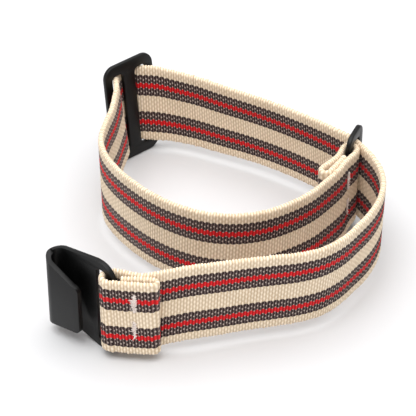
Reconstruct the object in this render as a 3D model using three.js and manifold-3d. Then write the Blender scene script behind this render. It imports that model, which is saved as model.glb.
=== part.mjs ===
// Elastic hook-clasp strap, standing on its edge as it does on a table: one striped knitted elastic
// strip is folded round a J-shaped hook at one end and round a slotted ring at the other. From the
// hook it runs along the front, turns, passes through the ring, weaves through a two-slot catch
// plate and comes back through the middle to the ring. Millimetres, +Z up, hook at the front left.
import * as THREE from "three";
import { mergeVertices } from "three/addons/utils/BufferGeometryUtils.js";
import Module from "manifold-3d";

const wasm = await Module();
wasm.setup();

// ---------- driving dimensions ----------
const strapWidth = 20;
const strapThickness = 1.25;
const metalThickness = 1.1;
const loopWidth = 63;
const loopDepth = 77;

const hookArm = 1.8;
const hookBar = 2.2;
const hookSlot = 3;
const hookReach = 9.7;
const hookBendRadius = 2.1;
const hookLip = 7.7;
const hookTaperDeg = 12;
const hookYawDeg = 137;
const lipClosingDeg = 4;
const lipDrop = 1.5;

const catchArm = 2.7;
const catchEndBar = 2.2;
const catchCentreBar = 3.5;
const catchYawDeg = 221.4;
const catchLeanDeg = 6;

const ringArm = 2.4;
const ringBar = 2.3;
const ringYawDeg = 67;
const ringPassSlant = 1.58;

const tackLength = 4.8;
const tackWidth = 1.1;
const tackHeight = 0.35;

// ---------- clearances ----------
const layerGap = 0.12;
const slotPlay = 0.3;
const foldPinch = 0.2;
const cutGap = 0.3;
const catchGap = 0.6;
const threadGap = 0.15;
const holePlay = 0.18;

// ---------- sizes that follow ----------
const layerPitch = strapThickness + layerGap;
const slotHeight = strapWidth + 2 * slotPlay;
const hookSlotHeight = strapWidth - 2 * foldPinch;
const hookFoldWidth = hookSlotHeight - 2 * foldPinch;
const hookHeight = hookSlotHeight + 2 * hookArm;
const catchHeight = slotHeight + 2 * catchArm;
const catchSlot = 2 * strapThickness + 0.7 * metalThickness;
const catchLength = 2 * catchEndBar + 2 * catchSlot + catchCentreBar;
const ringHeight = slotHeight + 2 * ringArm;
const catchLean = THREE.MathUtils.degToRad(catchLeanDeg);
const catchRise = (catchHeight * Math.cos(catchLean) + metalThickness * Math.sin(catchLean)) / 2;
const hookWrapRadius = wrapRadius(hookBar);
const ringWrapRadius = wrapRadius(ringBar);
const ringPassAlong = ringWrapRadius + ringPassSlant * strapThickness;
const ringPassHalf = 0.61 * strapThickness;
const ringSlot = ringPassAlong - ringBar / 2 + ringPassHalf + 0.22 * metalThickness + slotPlay;
const ringLength = 2 * ringBar + ringSlot;

// The hole in a fold clears the corners of its flat bar; the strip's middle lies half a
// thickness outside that hole.
function wrapRadius(bar) {
  return Math.hypot(bar, metalThickness) / 2 + holePlay + strapThickness / 2;
}

// A plan point of the loop, drawn for a 63 x 77 mm loop and carried to the size set above. The
// strip's top edge leans outwards there by leanDeg.
function at(x, y, leanDeg = 0, height = ringHeight / 2) {
  const point = new THREE.Vector3((x * loopWidth) / 63, (y * loopDepth) / 77, height);
  point.leanDeg = leanDeg;
  return point;
}

const hookCentre = at(-20, -51.2, 0, hookHeight / 2);
const catchCentre = at(-18.4, 22.9, catchLeanDeg, catchRise);
const ringCentre = at(31.8, -7.8);
const rad = THREE.MathUtils.degToRad;

// Two plan numbers in a turned frame standing at a centre.
function local(centre, yawDeg, along, across) {
  const offset = new THREE.Vector3(along, across, 0);
  offset.applyAxisAngle(new THREE.Vector3(0, 0, 1), rad(yawDeg)).add(centre);
  offset.leanDeg = centre.leanDeg;
  return offset;
}

// ---------- materials ----------
function standard(color, roughness, metalness) {
  return new THREE.MeshStandardMaterial({ color, roughness, metalness });
}
const blackMetal = () => standard(0x2b2b2d, 0.4, 0.85);
const knit = () => standard(0xa98c80, 0.85, 0);
const thread = () => standard(0xe8e2d6, 0.8, 0);

// ---------- solids ----------
function toSolid(geometry) {
  geometry.deleteAttribute("normal");
  geometry.deleteAttribute("uv");
  const merged = mergeVertices(geometry, 1e-4);
  return new wasm.Manifold(
    new wasm.Mesh({
      numProp: 3,
      vertProperties: merged.attributes.position.array,
      triVerts: new Uint32Array(merged.index.array),
    }),
  );
}

function toGeometry(solid) {
  const mesh = solid.getMesh();
  const geometry = new THREE.BufferGeometry();
  geometry.setAttribute("position", new THREE.BufferAttribute(mesh.vertProperties, 3));
  geometry.setIndex(new THREE.BufferAttribute(mesh.triVerts, 1));
  geometry.computeVertexNormals();
  return geometry;
}

function node(name, geometry, material) {
  const mesh = new THREE.Mesh(geometry, material);
  mesh.name = name;
  return mesh;
}

// A rounded rectangle from (left, low) to (right, high), as a shape or as a hole.
function roundedRect(path, left, right, low, high, radius) {
  path.moveTo(left + radius, low);
  path.lineTo(right - radius, low);
  path.absarc(right - radius, low + radius, radius, -Math.PI / 2, 0, false);
  path.lineTo(right, high - radius);
  path.absarc(right - radius, high - radius, radius, 0, Math.PI / 2, false);
  path.lineTo(left + radius, high);
  path.absarc(left + radius, high - radius, radius, Math.PI / 2, Math.PI, false);
  path.lineTo(left, low + radius);
  path.absarc(left + radius, low + radius, radius, Math.PI, 1.5 * Math.PI, false);
  return path;
}

// A flat outline drawn as (along, up), made into a plate of the given thickness centred on
// its own plane and stood upright: x along, y across, z up.
function uprightPlate(shape, thickness, edge) {
  const geometry = new THREE.ExtrudeGeometry(shape, {
    depth: thickness - 2 * edge,
    bevelEnabled: edge > 0,
    bevelThickness: edge,
    bevelSize: edge,
    bevelOffset: -edge,
    bevelSegments: 2,
    curveSegments: 8,
  });
  geometry.translate(0, 0, edge - thickness / 2);
  return geometry.rotateX(Math.PI / 2);
}

// ---------- the strip ----------
// The strip's section, x down its width and y through its thickness, with rolled edges.
function stripSection(width) {
  const roll = strapThickness * 0.3;
  return roundedRect(
    new THREE.Shape(),
    -width / 2,
    width / 2,
    -strapThickness / 2,
    strapThickness / 2,
    roll,
  );
}

// Part of a longer centre line, between two stations in millimetres. The strip stands on edge:
// its width runs up, leaned outwards by the lean of the nearest control points.
class Stretch extends THREE.Curve {
  constructor(line, from, to, leans = true) {
    super();
    this.line = line;
    this.from = from / line.getLength();
    this.to = to / line.getLength();
    this.leans = leans;
  }
  share(t) {
    return this.from + (this.to - this.from) * t;
  }
  getPoint(t) {
    return this.line.getPointAt(this.share(t));
  }
  leanAt(t) {
    const points = this.line.points;
    const place = this.line.getUtoTmapping(this.share(t)) * (points.length - 1);
    const before = Math.min(Math.floor(place), points.length - 2);
    const [a, b] = [points[before].leanDeg, points[before + 1].leanDeg];
    return rad(a + (b - a) * (place - before));
  }
  computeFrenetFrames(segments) {
    const frames = { tangents: [], normals: [], binormals: [] };
    for (let i = 0; i <= segments; i += 1) {
      const tangent = this.getTangentAt(i / segments);
      const outward = new THREE.Vector3(tangent.y, -tangent.x, 0).normalize();
      const lean = this.leans ? this.leanAt(i / segments) : 0;
      const down = new THREE.Vector3(0, 0, -Math.cos(lean));
      down.addScaledVector(outward, -Math.sin(lean));
      frames.tangents.push(tangent);
      frames.normals.push(down);
      frames.binormals.push(new THREE.Vector3().crossVectors(tangent, down));
    }
    return frames;
  }
}

function centreLine(points) {
  const line = new THREE.CatmullRomCurve3(points, false, "centripetal");
  line.arcLengthDivisions = 40 * points.length;
  return line;
}

// The station, in millimetres, of a centre line's control point.
function stationOf(line, index) {
  const steps = line.points.length - 1;
  return line.getLengths(40 * steps)[40 * index];
}

function strip(path, width, stepLength) {
  return new THREE.ExtrudeGeometry(stripSection(width), {
    steps: Math.ceil(path.getLength() / stepLength),
    extrudePath: path,
    curveSegments: 2,
  });
}

// A fold round a bar: in along the main layer, half round the bar, out along the flap and, at
// the flap's end, tucked back as a hem between flap and main layer. Along runs away from the
// bar and across is positive on the main layer's side.
function foldLine(centre, yawDeg, radius, mainRun, flapRun, hemAcross, hemEnd) {
  const points = mainRun.map(([along, across]) => [along, across]);
  for (let turn = 80; turn <= 280; turn += 25) {
    points.push([radius * Math.cos(rad(turn)), radius * Math.sin(rad(turn))]);
  }
  points.push(...flapRun);
  const [endAlong, endAcross] = flapRun.at(-1);
  const half = (hemAcross - endAcross) / 2;
  points.push([endAlong + 0.8 * half, endAcross + 0.35 * half]);
  points.push([endAlong + 1.1 * half, endAcross + half]);
  points.push([endAlong + 0.8 * half, hemAcross - 0.35 * half]);
  points.push([endAlong, hemAcross]);
  points.push(hemEnd);
  return centreLine(points.map(([along, across]) => local(centre, yawDeg, along, across)));
}

// ---------- hook clasp ----------
// One flat bent sheet: the slotted end and its bar, the tapering plate, the U bend and the lip.
// Along runs from the bar towards the bend and across points to the lip's side.
const hookPlateStart = hookBar / 2 + hookSlot;
const hookBendCentre = hookPlateStart + hookReach;

function hookSide() {
  const half = metalThickness / 2;
  const bend = hookBendRadius;
  const turned = Math.PI / 2 + rad(lipClosingDeg);
  const lipAt = (distance, offset) => [
    hookBendCentre + (bend + offset) * Math.cos(turned) - distance * Math.sin(turned),
    bend + (bend + offset) * Math.sin(turned) + distance * Math.cos(turned),
  ];
  const side = new THREE.Shape();
  side.moveTo(-hookBar / 2, -half);
  side.lineTo(hookBendCentre, -half);
  side.absarc(hookBendCentre, bend, bend + half, -Math.PI / 2, turned, false);
  side.lineTo(...lipAt(hookLip, half));
  side.lineTo(...lipAt(hookLip, -half));
  side.absarc(hookBendCentre, bend, bend - half, turned, -Math.PI / 2, true);
  side.lineTo(-hookBar / 2, half);
  side.closePath();
  return side;
}

// The plate's outline seen square on, from the bar to past the bend.
function hookPlateOutline() {
  const high = hookHeight / 2;
  const corner = 4;
  const end = -hookBar / 2;
  const tip = hookBendCentre + hookBendRadius + metalThickness;
  const tipHigh = high - (tip - hookPlateStart) * Math.tan(rad(hookTaperDeg));
  const outline = new THREE.Shape();
  outline.moveTo(end, corner - high);
  outline.absarc(end + corner, corner - high, corner, Math.PI, 1.5 * Math.PI, false);
  outline.lineTo(hookPlateStart, -high);
  outline.lineTo(tip, -tipHigh);
  outline.lineTo(tip, tipHigh);
  outline.lineTo(hookPlateStart, high);
  outline.absarc(end + corner, high - corner, corner, Math.PI / 2, Math.PI, false);
  outline.closePath();
  const slotHigh = hookSlotHeight / 2;
  const slot = roundedRect(
    new THREE.Path(),
    hookBar / 2,
    hookPlateStart,
    -slotHigh,
    slotHigh,
    0.9,
  );
  outline.holes.push(slot);
  return outline;
}

// The lip's outline: as wide as the plate in the bend, narrowing and dropping a little to its
// free edge.
function hookLipOutline() {
  const tip = hookBendCentre + hookBendRadius + metalThickness / 2;
  const slope = Math.tan(rad(hookTaperDeg));
  const tipHigh = hookHeight / 2 - (tip - hookPlateStart) * slope;
  const free = hookBendCentre - hookLip;
  const freeHigh = 0.7 * tipHigh;
  const corner = 1.7;
  const low = -freeHigh - lipDrop;
  const high = freeHigh - lipDrop;
  const outline = new THREE.Shape();
  outline.moveTo(free, low + corner);
  outline.quadraticCurveTo(free, low, free + corner, low);
  outline.lineTo(tip, -tipHigh);
  outline.lineTo(tip, tipHigh);
  outline.lineTo(free + corner, high);
  outline.quadraticCurveTo(free, high, free, high - corner);
  outline.closePath();
  return outline;
}

function hookClasp() {
  const bent = new THREE.ExtrudeGeometry(hookSide(), {
    depth: hookHeight,
    bevelEnabled: false,
    curveSegments: 14,
  });
  const sheet = toSolid(bent.translate(0, 0, -hookHeight / 2));
  const reach = 6 * hookBendRadius;
  const plate = toSolid(uprightPlate(hookPlateOutline(), 2 * hookBendRadius, 0));
  const lip = toSolid(
    uprightPlate(hookLipOutline(), reach, 0).translate(0, hookBendRadius + reach / 2, 0),
  );
  const solid = sheet.intersect(plate).add(sheet.intersect(lip));
  const mesh = node("hook_clasp", toGeometry(solid), blackMetal());
  mesh.position.copy(hookCentre);
  mesh.rotation.z = rad(hookYawDeg);
  return mesh;
}

// ---------- catch plate ----------
// A flat plate with two tall slots. The strip lies on its inner side at both ends and passes
// behind the centre bar, so the plate grips where it is left. It leans back a little.
const catchTurn = new THREE.Euler(catchLean, 0, rad(catchYawDeg), "ZYX");

function catchPlate() {
  const end = catchLength / 2;
  const outline = roundedRect(
    new THREE.Shape(),
    -end,
    end,
    -catchHeight / 2,
    catchHeight / 2,
    3,
  );
  for (const side of [-1, 1]) {
    const inner = (side * catchCentreBar) / 2;
    const outer = side * (end - catchEndBar);
    const slot = roundedRect(
      new THREE.Path(),
      Math.min(inner, outer),
      Math.max(inner, outer),
      -slotHeight / 2,
      slotHeight / 2,
      1.1,
    );
    outline.holes.push(slot);
  }
  const mesh = node("catch_plate", uprightPlate(outline, metalThickness, 0.25), blackMetal());
  mesh.position.copy(catchCentre);
  mesh.rotation.copy(catchTurn);
  return mesh;
}

// The strip's weave through the plate, in the plate's own frame: along from the right end to
// the left, across positive on the inner side.
const weaveDepth = (strapThickness + metalThickness) / 2 + 2 * layerGap;
const weaveSlot = (catchCentreBar + catchSlot) / 2;
const weaveEnd = catchLength / 2 - catchEndBar / 2;
const weaveCorner = 0.85 * weaveDepth;
const weaveRight = [
  [-weaveEnd, 2.15 * weaveDepth],
  [-weaveSlot, 0],
  [-weaveSlot + weaveCorner, -0.83 * weaveDepth],
];
const weaveLeft = weaveRight.map(([along, across]) => [-along, across]).reverse();
const weave = [...weaveRight, [0, -weaveDepth], ...weaveLeft];
const weavePoint = ([along, across]) => local(catchCentre, catchYawDeg, along, across);

// ---------- ring ----------
// A plate with one slot: the sewn end of the strip holds its near bar, and the strip passes
// through the slot beside that fold.
function ring() {
  const near = -ringBar / 2;
  const outline = roundedRect(
    new THREE.Shape(),
    near,
    near + ringLength,
    -ringHeight / 2,
    ringHeight / 2,
    2.6,
  );
  const slot = roundedRect(
    new THREE.Path(),
    ringBar / 2,
    ringBar / 2 + ringSlot,
    -slotHeight / 2,
    slotHeight / 2,
    1.1,
  );
  outline.holes.push(slot);
  const mesh = node("ring", uprightPlate(outline, metalThickness, 0.25), blackMetal());
  mesh.position.copy(ringCentre);
  mesh.rotation.z = rad(ringYawDeg);
  return mesh;
}

// ---------- strip routes ----------
const hookFold = foldLine(
  hookCentre,
  0,
  hookWrapRadius,
  [
    [8.4, 0.35],
    [6.6, 0.45],
    [4.2, 1.05],
    [2, 1.75],
  ],
  [
    [2.6, -2.25],
    [5, 0.35 - 2 * layerPitch],
    [8.5, 0.35 - 2 * layerPitch],
  ],
  0.35 - layerPitch,
  [3.6, 0.35 - layerPitch],
);

const ringFold = foldLine(
  ringCentre,
  245,
  ringWrapRadius,
  [
    [8, 1.3],
    [5.6, 1.35],
    [3.6, 1.5],
    [1.8, 1.85],
  ],
  [
    [2, -1.9],
    [4, 1.35 - 2 * layerPitch],
    [6.5, -1.9],
    [8.4, -2.3],
  ],
  -0.9,
  [4, 1.35 - layerPitch],
);

const frontRun = [
  local(hookCentre, 0, 8.4, 0.35),
  at(-4.4, -50.1, 0),
  at(2, -48.7, 1),
  at(8, -47.3, 2),
  at(13.6, -46.2, 3),
  at(19, -45.1, 4),
  at(23.9, -43.2, 4.5),
];
const rightBend = [
  at(28.2, -40, 4.5),
  at(32.1, -35.3, 4),
  at(35.5, -30, 3),
  at(37.9, -24.5, 2),
  at(38.8, -18.7, 1),
  at(37.6, -12.3, 0),
];
const ringPass = local(ringCentre, ringYawDeg, ringPassAlong, 0);
const backRun = [
  ringPass,
  at(29, 0.7, -2),
  at(23.3, 5.7, -3.5),
  at(17, 10.4, -4),
  at(10.5, 14.5, -4),
  at(3.8, 18.1, -2.5),
  at(-2.8, 21.7, 0),
  at(-8.6, 24.1, 2.5),
];
const leftBend = [
  at(-21, 14, 4.5),
  at(-21.8, 8.5, 3),
  at(-23.2, 2.5, 2),
  at(-24.1, -3.5, 1),
  at(-23.1, -9.3),
  at(-20.8, -14),
  at(-18.1, -18),
];
const innerRun = [
  at(-13.2, -23.6),
  at(-7.5, -28.2),
  at(-1.2, -31.3),
  at(5.4, -32.3),
  at(11.7, -31.2),
  at(17.4, -28.4),
  at(22.4, -24.4),
  at(26, -20.3),
  local(ringCentre, 245, 8, 1.3),
];
const weavePoints = weave.map(weavePoint);
const route = [...frontRun, ...rightBend, ...backRun, ...weavePoints, ...leftBend, ...innerRun];
const strapLine = centreLine(route);

// The named lengths of strip, each from one control point to another, with a small gap where
// one is cut from the next.
function stripBetween(name, first, last, startGap = cutGap / 2, endGap = cutGap / 2) {
  const from = stationOf(strapLine, route.indexOf(first)) + startGap;
  const to = stationOf(strapLine, route.indexOf(last)) - endGap;
  return node(name, strip(new Stretch(strapLine, from, to), strapWidth, 1.2), knit());
}

function trimmedFold(name, line, width) {
  const path = new Stretch(line, cutGap / 2, line.getLength());
  return node(name, strip(path, width, 0.5), knit());
}

function catchPass() {
  const from = stationOf(strapLine, route.indexOf(weavePoints[0])) + catchGap;
  const to = stationOf(strapLine, route.indexOf(weavePoints.at(-1))) - catchGap;
  const path = new Stretch(strapLine, from, to, false);
  const mesh = node("strap_catch_pass", strip(path, strapWidth, 0.6), knit());
  mesh.geometry.translate(-catchCentre.x, -catchCentre.y, -catchCentre.z);
  mesh.geometry.rotateZ(-rad(catchYawDeg));
  mesh.position.copy(catchCentre);
  mesh.rotation.copy(catchTurn);
  return mesh;
}

// ---------- bar tacks ----------
// A dense zigzag of thread that sews a fold's layers together, seen as a raised bar.
function barTack(name, centre, yawDeg, along, across, height) {
  const outline = roundedRect(
    new THREE.Shape(),
    -tackWidth / 2,
    tackWidth / 2,
    -tackLength / 2,
    tackLength / 2,
    tackWidth * 0.45,
  );
  const mesh = node(name, uprightPlate(outline, tackHeight, 0), thread());
  mesh.position.copy(local(centre, yawDeg, along, across));
  mesh.position.z += height;
  mesh.rotation.z = rad(yawDeg);
  return mesh;
}

const tackFace = strapThickness / 2 + threadGap + tackHeight / 2;
const tackRise = 0.21 * strapWidth;
const tackFall = 0.15 * strapWidth;
const flapFace = 0.35 - 2 * layerPitch - tackFace;
const ringFace = 1.42 + tackFace;

const strap = new THREE.Group();
strap.name = "hook_clasp_strap";
strap.add(
  hookClasp(),
  catchPlate(),
  ring(),
  trimmedFold("strap_hook_fold", hookFold, hookFoldWidth),
  stripBetween("strap_front_run", frontRun[0], rightBend[0]),
  stripBetween("strap_right_bend", rightBend[0], rightBend.at(-1)),
  stripBetween("strap_back_run", rightBend.at(-1), weavePoints[0], cutGap / 2, catchGap),
  catchPass(),
  stripBetween("strap_left_bend", weavePoints.at(-1), innerRun[0], catchGap),
  stripBetween("strap_inner_run", innerRun[0], innerRun.at(-1)),
  trimmedFold("strap_ring_fold", ringFold, strapWidth),
  barTack("bar_tack_hook_upper", hookCentre, 0, 4.6, flapFace, tackRise),
  barTack("bar_tack_hook_lower", hookCentre, 0, 4.6, flapFace, -tackFall),
  barTack("bar_tack_ring_upper", ringCentre, 245, 4.2, ringFace, tackRise),
  barTack("bar_tack_ring_lower", ringCentre, 245, 4.2, ringFace, -tackFall),
);

// The part's origin is under the middle of its box, at table height.
strap.updateMatrixWorld(true);
const box = new THREE.Box3().setFromObject(strap, true);
const middle = box.getCenter(new THREE.Vector3());
strap.position.set(-middle.x, -middle.y, -box.min.z);

export default strap;
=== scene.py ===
import bpy
import bmesh
import math
import numpy as np
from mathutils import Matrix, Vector


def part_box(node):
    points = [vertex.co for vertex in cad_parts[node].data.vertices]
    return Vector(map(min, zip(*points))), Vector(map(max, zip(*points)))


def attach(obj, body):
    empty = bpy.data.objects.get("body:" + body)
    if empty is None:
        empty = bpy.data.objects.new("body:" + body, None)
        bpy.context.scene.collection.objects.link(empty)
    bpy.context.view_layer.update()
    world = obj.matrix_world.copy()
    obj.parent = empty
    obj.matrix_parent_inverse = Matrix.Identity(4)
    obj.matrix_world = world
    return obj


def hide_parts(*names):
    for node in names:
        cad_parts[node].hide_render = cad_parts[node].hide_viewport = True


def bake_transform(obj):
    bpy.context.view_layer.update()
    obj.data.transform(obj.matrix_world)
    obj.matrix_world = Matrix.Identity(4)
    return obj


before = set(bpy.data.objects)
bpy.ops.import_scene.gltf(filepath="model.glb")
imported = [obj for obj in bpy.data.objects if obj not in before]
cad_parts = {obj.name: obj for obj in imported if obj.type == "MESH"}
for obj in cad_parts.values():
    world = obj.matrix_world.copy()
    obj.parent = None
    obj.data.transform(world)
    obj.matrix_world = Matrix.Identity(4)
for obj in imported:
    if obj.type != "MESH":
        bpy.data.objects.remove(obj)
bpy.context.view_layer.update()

# ---------- the knitted strip ----------
# One length of ribbed elastic, knitted in cream with two dark brown flecked bands, each with a red
# line down its middle. It is turned back, hemmed and sewn round the hook's bar at one end and the
# ring's bar at the other, and woven through the catch plate on the way.
MM = 0.001

# The way it lies is drawn in plan, in millimetres, and set down where the ring stands.
ring_low, ring_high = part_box("ring")
ring_plan = (31.8, -7.8)
ring_yaw = 67
ring_bar = 2.3
ring_slot = 4.21
strap_width = 20
strap_thick = 1.25
rib_pitch = 0.659


def turned(centre, yaw, along, across):
    """The plan place that lies along and across a bar standing at centre, turned by yaw."""
    c, s = math.cos(math.radians(yaw)), math.sin(math.radians(yaw))
    return [centre[0] + c * along - s * across, centre[1] + s * along + c * across]


ring_middle = turned(ring_plan, ring_yaw, (ring_bar + ring_slot) / 2, 0)
shift = np.array(
    [(ring_low[i] + ring_high[i]) / 2 / MM - ring_middle[i] for i in (0, 1)] + [0.0]
)

hook_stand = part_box("hook_clasp")
hook_height = (hook_stand[0][2] + hook_stand[1][2]) / 2 / MM
strap_height = (ring_low[2] + ring_high[2]) / 2 / MM
catch_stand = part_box("catch_plate")
catch_height = (catch_stand[0][2] + catch_stand[1][2]) / 2 / MM


def way(x, y, lean=0, height=strap_height, width=strap_width):
    """A way point: plan place, height of the strip's middle, outward lean in degrees, width."""
    return [x, y, height, lean, width]


def fold(centre, yaw, height, width, main_run, radii, flap_run, hem_across, hem_end):
    """An end turned back round a bar, with its raw edge tucked in between as a hem."""
    points = list(main_run)
    for turn in range(80, 281, 20):
        points.append(
            (radii[0] * math.cos(math.radians(turn)), radii[1] * math.sin(math.radians(turn)))
        )
    points += flap_run
    end, side = flap_run[-1]
    half = (hem_across - side) / 2
    points += [
        (end + 0.8 * half, side + 0.35 * half),
        (end + 1.1 * half, side + half),
        (end + 0.8 * half, hem_across - 0.35 * half),
        (end, hem_across),
        hem_end,
    ]
    return [way(*turned(centre, yaw, a, b), 0, height, width) for a, b in points]


hook_plan = (-20, -51.2)
hook_fold_width = 19.2
hook_fold = fold(
    hook_plan, 0, hook_height, hook_fold_width,
    [(8.4, 0.35), (6.6, 0.45), (4.2, 0.95), (2, 1.7)],
    (2.03, 1.95),
    [(2.6, -2.3), (4.6, -2.5), (6.5, -2.7), (8.4, -2.75)],
    -0.95,
    (1.5, -0.6),
)
# The strip widens again where it leaves the hook's slot, and leans where it nears the ring.
hook_fold[0][4] = strap_width
ring_fold_yaw = 245
ring_fold = fold(
    ring_plan, ring_fold_yaw, strap_height, strap_width,
    [(8, 1.3), (5.6, 1.3), (3.6, 1.3), (1.8, 1.5)],
    (2.05, 1.6),
    [(2, -1.5), (4, -1.6), (6.5, -2.25), (9.2, -2.95)],
    -0.85,
    (3.2, -0.1),
)
for point, lean in zip(ring_fold, (-3.5, -2.5, -1)):
    point[3] = lean
front_run = [
    way(-4.4, -50.1), way(2, -48.7, 1), way(8, -47.3, 2), way(13.6, -46.2, 3),
    way(19, -45.1, 4), way(23.9, -43.2, 4.5),
]
right_bend = [
    way(28.1, -39.8, 4.5), way(31.8, -35, 4), way(35.2, -29.8, 3), way(37.5, -24.3, 2),
    way(38.5, -18.6, 0.5), way(37.5, -12.3),
]
back_run = [
    way(*turned(ring_plan, ring_yaw, 3.97, 0)),
    way(29, 0.7, -2), way(23.3, 5.7, -3.5), way(17, 10.4, -4), way(10.5, 14.5, -4),
    way(3.8, 18.1, -2.5), way(-2.8, 21.7), way(-8.6, 24.1, 2.5),
]
catch_plan = (-18.4, 22.9)
catch_yaw = 221.4
weave = [
    way(*turned(catch_plan, catch_yaw, along, across), 6, catch_height)
    for along, across in [
        (-6.12, 3.04), (-3.385, 0), (-2.18, -1.174), (0, -1.415),
        (2.18, -1.174), (3.385, 0.1), (5.4, 2.9),
    ]
]
left_bend = [
    way(-21, 14, 4.5), way(-21.8, 8.5, 3), way(-23.2, 2.5, 2), way(-24.1, -3.5, 1),
    way(-23.1, -9.3), way(-20.8, -14), way(-18.1, -18),
]
inner_run = [
    way(-13.2, -23.6), way(-7.5, -28.2), way(-1.2, -31.3), way(5.4, -32.3),
    way(11.7, -31.2), way(17.4, -28.4, -1), way(22.5, -24.6, -2.5), way(26.1, -20.5, -3.5),
]
route = np.array(
    hook_fold[::-1] + front_run + right_bend + back_run + weave + left_bend
    + inner_run + ring_fold
)

line_steps = 40


def smooth_line(points, steps=line_steps):
    """One smooth line through all way points, with steps samples between neighbours."""
    ends = np.vstack([2 * points[0] - points[1], points, 2 * points[-1] - points[-2]])
    line = []
    for i in range(1, len(ends) - 2):
        before, here, there, after = ends[i - 1 : i + 3]
        gaps = [
            np.linalg.norm((b - a)[:2]) ** 0.5
            for a, b in ((before, here), (here, there), (there, after))
        ]
        leave = (here - before) / gaps[0] - (there - before) / (gaps[0] + gaps[1])
        leave = (leave + (there - here) / gaps[1]) * gaps[1]
        arrive = (there - here) / gaps[1] - (after - here) / (gaps[1] + gaps[2])
        arrive = (arrive + (after - there) / gaps[2]) * gaps[1]
        s = np.arange(steps)[:, None] / steps
        line.append(
            (2 * s**3 - 3 * s**2 + 1) * here + (s**3 - 2 * s**2 + s) * leave
            + (3 * s**2 - 2 * s**3) * there + (s**3 - s**2) * arrive
        )
    return np.vstack(line + [points[-1:]])


strip_line = smooth_line(route)
station = np.concatenate(
    [[0], np.cumsum(np.linalg.norm(np.diff(strip_line[:, :2], axis=0), axis=1))]
)
rib_count = round(station[-1] / rib_pitch)


def rib_near(place):
    """The rib whose station is nearest a way point of the route."""
    index = [i for i, p in enumerate(route.tolist()) if p == place][0]
    return round(station[line_steps * index] / station[-1] * rib_count)


# No two ribs are quite alike: each swells and reaches past the edge by its own amount.
dice = np.random.RandomState(7)
ribs_swell = 1 + 0.12 * dice.randn(rib_count + 2)
ribs_reach = 0.05 * dice.randn(rib_count + 2)
samples_per_rib = 5
rib_height = 0.11
rim_height = 0.2
knit_slant = 0.045
aim_step = 0.12
crown_height = 0.03
crown_across = 8.9
face_inset = 0.045

# The section: across the outer face, round the top rim, back down the inner face, round the foot.
rim_foot = 9.37
rim_radius = 0.62
face_steps = np.linspace(-9.35, 9.35, 30)
rim_turns = np.radians([68, 40, 12, -12, -40, -68])
section = np.array(
    [(w, 1.0, 0.0) for w in face_steps]
    + [(rim_foot + rim_radius * math.cos(a), math.sin(a), 1.0) for a in rim_turns]
    + [(w, -1.0, 0.0) for w in face_steps[::-1]]
    + [(-rim_foot - rim_radius * math.cos(a), -math.sin(a), 1.0) for a in rim_turns]
)


def station_at(x, y):
    """The station where the strip's middle passes a plan place."""
    return station[np.argmin(np.hypot(strip_line[:, 0] - x, strip_line[:, 1] - y))]


# Where stitches draw the knit in: (station, height on strap, side), with side +1 outside.
tack_up, tack_down = 4.2, -3.0
hook_tack_along, ring_tack_along = 4.6, 4.2
hook_flap_across, hook_main_across = -2.5, 0.85
ring_flap_across, ring_main_across = -1.6, 1.3
hook_flap_place = station_at(*turned(hook_plan, 0, hook_tack_along, hook_flap_across))
hook_main_place = station_at(*turned(hook_plan, 0, hook_tack_along, hook_main_across))
ring_main_place = station_at(*turned(ring_plan, ring_fold_yaw, ring_tack_along, ring_main_across))
ring_flap_place = station_at(*turned(ring_plan, ring_fold_yaw, ring_tack_along, ring_flap_across))
dent_depth = 0.4
dent_length = 0.8
dent_half_height = 2.5
dents = [
    (place, height, side)
    for place, side in (
        (hook_flap_place, -1), (hook_main_place, -1), (ring_main_place, 1), (ring_flap_place, 1),
    )
    for height in (tack_up, tack_down)
]


def strip_points(first, last):
    """Rows of section points from rib first to rib last."""
    ribs = np.arange(first * samples_per_rib, last * samples_per_rib + 1) / samples_per_rib
    s = ribs / rib_count * station[-1]
    place = [np.interp(s, station, strip_line[:, k]) for k in range(5)]
    ahead = [np.interp(s + aim_step, station, strip_line[:, k]) for k in range(3)]
    behind = [np.interp(s - aim_step, station, strip_line[:, k]) for k in range(3)]
    run = np.array(ahead).T - np.array(behind).T
    run[:, 2] = 0
    run /= np.linalg.norm(run, axis=1)[:, None]
    outward = np.stack([run[:, 1], -run[:, 0], 0 * s], 1)
    lean = np.radians(place[3])[:, None]
    up = np.array([0, 0, 1]) * np.cos(lean) + outward * np.sin(lean)
    face = outward * np.cos(lean) - np.array([0, 0, 1]) * np.sin(lean)
    middle = np.stack(place[:3], 1) + shift

    phase = ribs % 1
    which = np.minimum(ribs.astype(int), rib_count)
    ridge = np.sin(math.pi * phase) ** 0.6 * ribs_swell[which]
    w, n, on_rim = section.T
    span = (place[4] / strap_width)[:, None] * w[None, :]
    crown = crown_height * np.exp(-(((np.abs(w) - crown_across) / 0.6) ** 2))
    half = strap_thick / 2 - face_inset + crown
    thick = np.sign(n)[None, :] * (
        half[None, :] * np.abs(n)[None, :]
        + (ridge[:, None] - 0.5) * rib_height * np.abs(n)[None, :]
    )
    reach = (ridge[:, None] - 0.6) * rim_height + ribs_reach[which][:, None]
    span = span + np.sign(w)[None, :] * on_rim[None, :] * reach
    for at, height, side in dents:
        near = np.exp(-(((s - at) / dent_length) ** 2))[:, None]
        inside = 1 / (1 + np.exp((np.abs(span - height) - dent_half_height) * 3))
        faces = np.clip(np.sign(n) * side, 0, 1)[None, :]
        thick = thick - side * dent_depth * near * inside * faces
    points = (
        middle[:, None, :]
        + up[:, None, :] * span[:, :, None]
        + face[:, None, :] * thick[:, :, None]
        + run[:, None, :] * (knit_slant * span)[:, :, None]
    )
    return ribs, span, points * MM


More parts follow.
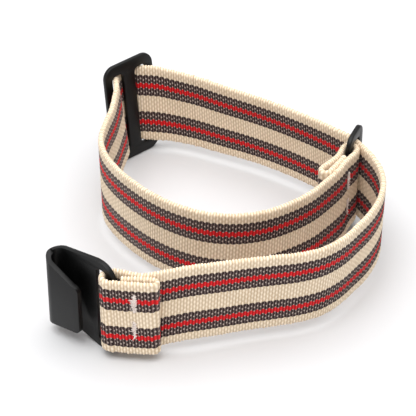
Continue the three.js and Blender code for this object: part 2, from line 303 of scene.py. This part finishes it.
def knitted_length(name, first, last):
    """The strip from rib first to rib last, with its map of ribs and millimetres across."""
    ribs, span, points = strip_points(first, last)
    rows, round_ = points.shape[:2]
    mesh = bpy.data.meshes.new(name)
    corners = [
        (r * round_ + c, r * round_ + (c + 1) % round_,
         (r + 1) * round_ + (c + 1) % round_, (r + 1) * round_ + c)
        for r in range(rows - 1)
        for c in range(round_)
    ]
    caps = [tuple(range(round_))[::-1], tuple((rows - 1) * round_ + c for c in range(round_))]
    mesh.from_pydata(points.reshape(-1, 3).tolist(), [], corners + caps)
    lay = mesh.uv_layers.new(name="strip")
    loops = np.zeros(len(mesh.loops), int)
    mesh.loops.foreach_get("vertex_index", loops)
    uv = np.stack([np.repeat(ribs, round_), span.reshape(-1)], 1)[loops]
    lay.data.foreach_set("uv", uv.reshape(-1))
    mesh.shade_smooth()
    piece = bpy.data.objects.new(name, mesh)
    bpy.context.scene.collection.objects.link(piece)
    bm = bmesh.new()
    bm.from_mesh(mesh)
    bmesh.ops.recalc_face_normals(bm, faces=bm.faces)
    bm.to_mesh(mesh)
    bm.free()
    return piece


class Shade:
    """A socket in a material. Sums and products of shades add Math nodes."""

    def __init__(self, tree, socket=None):
        self.tree, self.socket = tree, socket

    def node(self, kind, settings=(), inputs=(), output=0):
        made = self.tree.nodes.new("ShaderNode" + kind)
        for name, value in dict(settings).items():
            setattr(made, name, value)
        for name, value in dict(inputs).items():
            if isinstance(value, Shade):
                self.tree.links.new(value.socket, made.inputs[name])
            else:
                made.inputs[name].default_value = value
        return Shade(self.tree, made.outputs[output] if made.outputs else None)

    def math(self, operation, *values):
        return self.node("Math", {"operation": operation}, enumerate((self, *values)))

    def __add__(self, other):
        return self.math("ADD", other)

    __radd__ = __add__

    def __mul__(self, other):
        return self.math("MULTIPLY", other)

    __rmul__ = __mul__

    def __sub__(self, other):
        return self.math("SUBTRACT", other)

    def __rsub__(self, other):
        return self.node("Math", {"operation": "SUBTRACT"}, {0: other, 1: self})

    def __truediv__(self, other):
        return self.math("DIVIDE", other)

    def smooth(self, low, high):
        """0 below low, 1 above high, smooth between; also with low above high."""
        return self.node(
            "MapRange",
            {"interpolation_type": "SMOOTHSTEP"},
            {"Value": self, "From Min": low, "From Max": high},
        )

    def mix(self, first, second):
        return self.node("Mix", {"data_type": "RGBA"}, {0: self, 6: first, 7: second}, 2)


def srgb(red, green, blue):
    parts = [c / 255 for c in (red, green, blue)]
    return [c / 12.92 if c < 0.04045 else ((c + 0.055) / 1.055) ** 2.4 for c in parts] + [1]


def new_material(name):
    material = bpy.data.materials.new(name)
    material.use_nodes = True
    tree = material.node_tree
    tree.nodes.clear()
    return material, tree, Shade(tree)


# cream_lit and cream_low: the cream painted lit on a rib's crest and shaded in the groove between
# ribs.
cream_lit = srgb(252, 235, 212)
cream_low = srgb(184, 158, 122)
# brown_low is the dark yarn; brown_lit is a painted highlight on its loops.
brown_low = srgb(40, 26, 25)
brown_lit = srgb(122, 104, 100)
fleck = srgb(204, 186, 174)
# red_lit and red_low: the red painted lit on a rib's crest and shaded in its groove.
red_lit = srgb(244, 34, 40)
red_low = srgb(146, 4, 8)
band_across = 4.9
dash_pitch = 1.2


def striped_knit():
    material, tree, shade = new_material("striped_knit")
    lay = shade.node("UVMap", {"uv_map": "strip"})
    parts = lay.node("SeparateXYZ", (), {0: lay})
    rib = parts
    across = Shade(tree, parts.socket.node.outputs[1])
    place = shade.node("TexCoord", (), (), 3)
    blur = place.node("TexNoise", (), {"Vector": place, "Scale": 2600.0, "Detail": 2.0})
    tone = place.node("TexNoise", (), {"Vector": place, "Scale": 180.0, "Detail": 2.0})
    fuzz = place.node("TexNoise", (), {"Vector": place, "Scale": 9000.0, "Detail": 2.0})

    rib = rib - 0.5 + (blur - 0.5) * 0.2
    wave = (rib * math.pi).math("COSINE")
    side = across.math("SIGN")
    band = across - side * band_across + (blur - 0.5) * 0.12
    stagger = band - wave * 0.2
    level = stagger.math("ABSOLUTE")
    in_rib = (rib + 0.5).math("FRACT") - 0.5

    def spot(height, wide, tall):
        """Round flecks, one on each rib, at a level above and below the red line."""
        x = in_rib / wide
        y = (level - height) / tall
        return (x * x + y * y).smooth(1.35, 0.35)

    # ridge paints shade into the grooves between ribs and a highlight on their crests, in the
    # cream and the red; it also shapes the bump.
    ridge = (in_rib * 2 * math.pi).math("COSINE") * 0.5 + 0.5
    # shine paints a highlight on one side of each rib's loops, in the dark bands and the red line;
    # it also shapes the bump.
    shine = ((in_rib - 0.2) * 2 * math.pi).math("COSINE") * 0.5 + 0.5
    # dash paints short staggered highlights down the cream; it also shapes the bump there.
    column = (across * (2 * math.pi / dash_pitch)).math("COSINE") * wave
    dash = column * 0.5 + 0.5

    outer = (rib * (math.pi / 2)).math("COSINE").math("ABSOLUTE")
    top = (band - outer * 0.38).smooth(2.62, 2.46)
    foot = ((rib - 0.5) * math.pi).math("COSINE")
    bottom = (band + foot * 0.1).smooth(-2.74, -2.6)
    dark = top * bottom
    red = level.smooth(0.66, 0.56)
    flecks = spot(1.72, 0.25, 0.25)
    dots = spot(0.72, 0.2, 0.15)

    # The cream: painted shade in the rib grooves, painted highlight on the crests and dashes, and
    # random tone.
    cream = (ridge * 0.55 + dash * 0.45 + tone * 0.3 - 0.12).mix(cream_low, cream_lit)
    # The dark bands: the dark yarn with a painted highlight on its loops, under light flecks.
    loops = (shine * shine * 0.75 + (blur - 0.5) * 0.5).mix(brown_low, brown_lit)
    loops = (flecks * 0.8).mix(loops, fleck)
    # The red line: painted shade in the rib grooves and painted highlights on the crests and
    # loops.
    line = (ridge * 0.5 + shine * 0.4 + (blur - 0.5) * 0.5).mix(red_low, red_lit)
    colour = dark.mix(cream, loops)
    colour = (red * dark).mix(colour, line)
    colour = (dots * dark * 0.8).mix(colour, fleck)

    height = ridge * 0.5 + dash * (1 - dark) * 0.35 + shine * dark * 0.3
    height = height + flecks * dark * 0.3 + fuzz * 0.25
    bump = height.node(
        "Bump", (), {"Height": height, "Distance": 0.00014, "Strength": 0.7}
    )
    rough = fuzz * 0.1 + 0.78
    shader = bump.node(
        "BsdfPrincipled", (),
        {"Base Color": colour, "Roughness": rough, "Normal": bump, "Specular IOR Level": 0.12,
         "Sheen Weight": 0.1, "Sheen Roughness": 0.5},
    )
    shader.node("OutputMaterial", (), {0: shader})
    return material


knit = striped_knit()


before_catch = rib_near(back_run[6])
catch_middle = rib_near(weave[3])
after_catch = rib_near(left_bend[0])

outer_turn = knitted_length("elastic_outer_turn", 0, before_catch)
catch_right = knitted_length("elastic_into_catch", before_catch, catch_middle)
catch_left = knitted_length("elastic_out_of_catch", catch_middle, after_catch)
inner_turn = knitted_length("elastic_inner_turn", after_catch, rib_count)
for piece in (outer_turn, catch_right, catch_left, inner_turn):
    piece.data.materials.append(knit)


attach(outer_turn, "strap")
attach(inner_turn, "strap")
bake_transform(catch_right)
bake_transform(catch_left)
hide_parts("strap_hook_fold", "strap_front_run", "strap_right_bend", "strap_back_run")
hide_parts("strap_catch_pass")
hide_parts("strap_catch_pass")
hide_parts("strap_left_bend", "strap_inner_run", "strap_ring_fold")

# ---------- the bar tacks ----------
# Four short bars of pale polyester thread, zigzagged through all the layers of a fold. They draw
# the knit in, and a few ends have worked loose. Both faces show them.
thread_radius = 0.13
fibre_radius = 0.045
tack_long = 4.6
zigzag_turns = 20


def sewing_thread():
    material, tree, shade = new_material("sewing_thread")
    lay = shade.node("UVMap", {"uv_map": "twist"})
    along = lay.node("SeparateXYZ", (), {0: lay})
    turn = Shade(tree, along.socket.node.outputs[1])
    place = shade.node("TexCoord", (), (), 3)
    fuzz = place.node("TexNoise", (), {"Vector": place, "Scale": 7000.0, "Detail": 2.0})
    # The thread is painted darker in the grooves between its plies and lighter on their crests:
    # painted shade and highlight, with random tone from fuzz.
    ply = ((along * 3.2 + turn) * 2 * math.pi).math("COSINE") * 0.5 + 0.5
    colour = (ply * 0.6 + fuzz * 0.4).mix(srgb(214, 196, 186), srgb(252, 243, 236))
    bump = ply.node(
        "Bump", (), {"Height": ply + fuzz * 0.5, "Distance": 0.00005, "Strength": 0.6}
    )
    shader = bump.node(
        "BsdfPrincipled", (),
        {"Base Color": colour, "Roughness": fuzz * 0.1 + 0.72, "Normal": bump,
         "Specular IOR Level": 0.25, "Sheen Weight": 0.3},
    )
    shader.node("OutputMaterial", (), {0: shader})
    return material


thread = sewing_thread()


def thread_tube(bm, lay, line, radius):
    """A round thread along a line of points in millimetres, with closed ends."""
    line = np.array(line)
    run = np.gradient(line, axis=0)
    run /= np.linalg.norm(run, axis=1)[:, None]
    reach = np.concatenate([[0], np.cumsum(np.linalg.norm(np.diff(line, axis=0), axis=1))])
    rings = []
    for point, ahead in zip(line, run):
        side = Vector(ahead).orthogonal().normalized()
        if rings:
            last = rings[-1][0].co / MM - Vector(line[len(rings) - 1])
            side = (last - Vector(ahead) * last.dot(Vector(ahead))).normalized()
        over = Vector(ahead).cross(side)
        rings.append([
            bm.verts.new((Vector(point) + radius * (side * math.cos(a) + over * math.sin(a))) * MM)
            for a in np.arange(8) * math.pi / 4
        ])
    for i in range(len(rings) - 1):
        for k in range(8):
            face = bm.faces.new(
                (rings[i][k], rings[i][(k + 1) % 8], rings[i + 1][(k + 1) % 8], rings[i + 1][k])
            )
            corners = ((i, k), (i, k + 1), (i + 1, k + 1), (i + 1, k))
            for loop, (row, turn) in zip(face.loops, corners):
                loop[lay].uv = (reach[row], turn / 8)
    bm.faces.new(rings[0][::-1])
    bm.faces.new(rings[-1])


def bar_tack(name, node, centre, yaw, along, faces, height, base, widths, loose):
    """faces holds (across, outward sign) of the two faces that the tack shows on."""
    mesh = bpy.data.meshes.new(name)
    bm = bmesh.new()
    lay = bm.loops.layers.uv.new("twist")

    def put(a, across, up):
        x, y = turned(centre, yaw, a, across)
        return [x + shift[0], y + shift[1], base + up]

    for across, sign in faces:
        zigzag = []
        for i in range(zigzag_turns + 1):
            share = i / zigzag_turns
            swing = np.interp(share, [0, 0.3, 0.6, 1], widths) * (0.6 + 0.8 * dice.rand())
            sideways = (0.5 if i % 2 else -0.5) * swing + 0.1 * dice.randn()
            up = height + (0.5 - share) * tack_long + 0.14 * dice.randn()
            zigzag.append((along + sideways, across + sign * 0.02, up))
        line = []
        for (a, c, u), (a2, c2, u2) in zip(zigzag, zigzag[1:]):
            for t in (0.0, 0.25, 0.5, 0.75):
                lift = sign * 0.14 * math.sin(math.pi * t)
                line.append(put(a + (a2 - a) * t, c + lift, u + (u2 - u) * t))
        thread_tube(bm, lay, line, thread_radius)
        for _ in range(2):
            offset = 0.12 * dice.randn()
            line = [
                put(along + offset + 0.06 * math.sin(3 * t), across - sign * 0.05,
                    height + (0.5 - t) * tack_long)
                for t in np.linspace(0.03, 0.97, 9)
            ]
            thread_tube(bm, lay, line, thread_radius)
    across, sign = faces[0]
    for _ in range(loose):
        start = dice.rand() - 0.5
        away, rise, curl = (dice.uniform(-most, most) for most in (1.1, 1.3, 0.8))
        line = [
            put(along + away * t + curl * t * (1 - t),
                across + sign * (0.12 + 0.34 * math.sin(math.pi * min(t * 1.2, 1))),
                height + start * tack_long * 0.8 + rise * t * t)
            for t in np.linspace(0, 1, 9)
        ]
        thread_tube(bm, lay, line, fibre_radius)
    bmesh.ops.recalc_face_normals(bm, faces=bm.faces)
    bm.to_mesh(mesh)
    bm.free()
    mesh.materials.append(thread)
    mesh.shade_smooth()
    piece = bpy.data.objects.new(name, mesh)
    bpy.context.scene.collection.objects.link(piece)
    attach(piece, "strap")
    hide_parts(node)


face_off = strap_thick / 2 - 0.25
hook_faces = ((hook_flap_across - face_off, -1), (hook_main_across + face_off, 1))
ring_faces = ((ring_main_across + face_off, 1), (ring_flap_across - face_off, -1))
at_hook = (hook_plan, 0, hook_tack_along, hook_faces)
at_ring = (ring_plan, ring_fold_yaw, ring_tack_along, ring_faces)
for name, place, up, base, widths, loose in (
    ("hook_upper", at_hook, tack_up, hook_height, [0.5, 1.5, 1.3, 0.4], 16),
    ("hook_lower", at_hook, tack_down, hook_height, [0.5, 0.8, 0.6, 0.4], 8),
    ("ring_upper", at_ring, tack_up, strap_height, [0.3, 0.4, 0.35, 0.3], 3),
    ("ring_lower", at_ring, tack_down, strap_height, [0.3, 0.45, 0.4, 0.3], 3),
):
    bar_tack("tack_" + name, "bar_tack_" + name, *place, up, base, widths, loose)

# ---------- the metal pieces ----------
# A hook clasp bent from one sheet, a two-slot catch plate and a one-slot ring: all cut from
# 1.1 mm sheet steel, tumbled so their edges are soft, and coated satin black.
def black_metal():
    material, tree, shade = new_material("black_metal")
    place = shade.node("TexCoord", (), (), 3)
    grain = place.node("TexNoise", (), {"Vector": place, "Scale": 5200.0, "Detail": 3.0})
    cloud = place.node("TexNoise", (), {"Vector": place, "Scale": 260.0, "Detail": 3.0})
    # The colour is a little lighter along the sharp bends and edges, broken up by a cloud of
    # noise.
    sharp_bends = place.node("Attribute", {"attribute_name": "bend_sharpness"}, (), 2)
    edge_lightening = sharp_bends * (cloud * 1.6 - 0.35)
    edge_lightening = edge_lightening.smooth(0.0, 1.0)
    colour = (edge_lightening * 0.6).mix(srgb(6, 6, 6), srgb(34, 33, 34))
    rough = 0.34 + cloud * 0.12 + grain * 0.06
    bump = grain.node("Bump", (), {"Height": grain, "Distance": 0.00002, "Strength": 0.25})
    shader = bump.node(
        "BsdfPrincipled", (),
        {"Base Color": colour, "Roughness": rough, "Normal": bump, "Metallic": 0.2,
         "Specular IOR Level": 0.3, "Coat Weight": 0.06, "Coat Roughness": 0.3},
    )
    shader.node("OutputMaterial", (), {0: shader})
    return material


metal = black_metal()


def soft_edged(node, body, edge, name):
    """A copy of a metal solid with its flat faces joined and its sharp edges rounded."""
    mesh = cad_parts[node].data.copy()
    piece = bpy.data.objects.new(name, mesh)
    bpy.context.scene.collection.objects.link(piece)
    bm = bmesh.new()
    bm.from_mesh(mesh)
    bmesh.ops.remove_doubles(bm, verts=bm.verts, dist=1e-6)
    bmesh.ops.dissolve_limit(bm, angle_limit=0.01, verts=bm.verts, edges=bm.edges)
    if edge:
        sharp = [e for e in bm.edges if e.is_manifold and e.calc_face_angle(0) > 0.6]
        bmesh.ops.bevel(
            bm, geom=sharp, offset=edge, segments=3, profile=0.5, affect="EDGES",
            clamp_overlap=True,
        )
    bm.to_mesh(mesh)
    bm.free()
    mesh.materials.clear()
    mesh.materials.append(metal)
    mesh.shade_smooth()
    mesh.set_sharp_from_angle(angle=math.radians(38))
    # How sharply the surface bends at each point; the metal's colour is lighter there.
    bends = mesh.attributes.new("bend_sharpness", "FLOAT", "POINT")
    normals = [[] for _ in mesh.vertices]
    for polygon in mesh.polygons:
        for v in polygon.vertices:
            normals[v].append(polygon.normal)
    for v, around in enumerate(normals):
        spread = max((a.angle(b, 0) for a in around for b in around), default=0)
        bends.data[v].value = min(spread / 0.9, 1)
    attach(piece, body)
    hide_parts(node)


# The hook's edges are rounded here. Those of the other two are already round in their solids.
soft_edged("hook_clasp", "hook", 0.2 * MM, "hook_clasp_metal")
soft_edged("catch_plate", "catch", 0, "catch_plate_metal")
soft_edged("ring", "end_ring", 0, "ring_metal")

# ---------- the table, the lights and the camera ----------
# The strap stands on a plain pale table top of painted board, under one broad soft light overhead
# and a smaller one above the front.
table_low = -0.1 * MM
table_half = 3
floor_mesh = bpy.data.meshes.new("table")
floor_mesh.from_pydata(
    [(x * table_half, y * table_half, table_low) for x, y in ((-1, -1), (1, -1), (1, 1), (-1, 1))],
    [], [(0, 1, 2, 3)],
)
table_top = bpy.data.objects.new("table", floor_mesh)
bpy.context.scene.collection.objects.link(table_top)
white, _, white_shade = new_material("white_table")
table_white = (0.62, 0.62, 0.628, 1)
paint = white_shade.node("BsdfPrincipled", (), {"Base Color": table_white, "Roughness": 0.7})
paint.node("OutputMaterial", (), {0: paint})
floor_mesh.materials.append(white)

room_light = 0.6
world = bpy.data.worlds.new("studio")
bpy.context.scene.world = world
world.use_nodes = True
background = world.node_tree.nodes["Background"]
background.inputs[0].default_value = (1, 1, 1, 1)
background.inputs[1].default_value = room_light


def soft_light(name, place, aim, size, power):
    lamp = bpy.data.lights.new(name, "AREA")
    lamp.shape, lamp.size, lamp.energy = "DISK", size, power
    holder = bpy.data.objects.new(name, lamp)
    holder.location = place
    holder.rotation_euler = (Vector(aim) - Vector(place)).to_track_quat("-Z", "Y").to_euler()
    bpy.context.scene.collection.objects.link(holder)


soft_light("overhead", (0, 0, 0.7), (0, 0, 0), 1.2, 8)
soft_light("front_fill", (-0.15, -0.3, 0.8), (0, 0, 0), 0.5, 2.2)

camera_distance = 0.447
lens = bpy.data.cameras.new("camera")
lens.sensor_width, lens.lens = 36, 164.5
lens.clip_start, lens.clip_end = 0.01, 10
camera = bpy.data.objects.new("camera", lens)
aim = Vector((shift[0] * MM, shift[1] * MM, 0))
tilt = math.radians(37)
camera.location = aim + camera_distance * Vector((0, -math.cos(tilt), math.sin(tilt)))
camera.rotation_euler = (math.pi / 2 - tilt, 0, 0)
bpy.context.scene.collection.objects.link(camera)
bpy.context.scene.camera = camera
bpy.context.scene.view_settings.view_transform = "Standard"
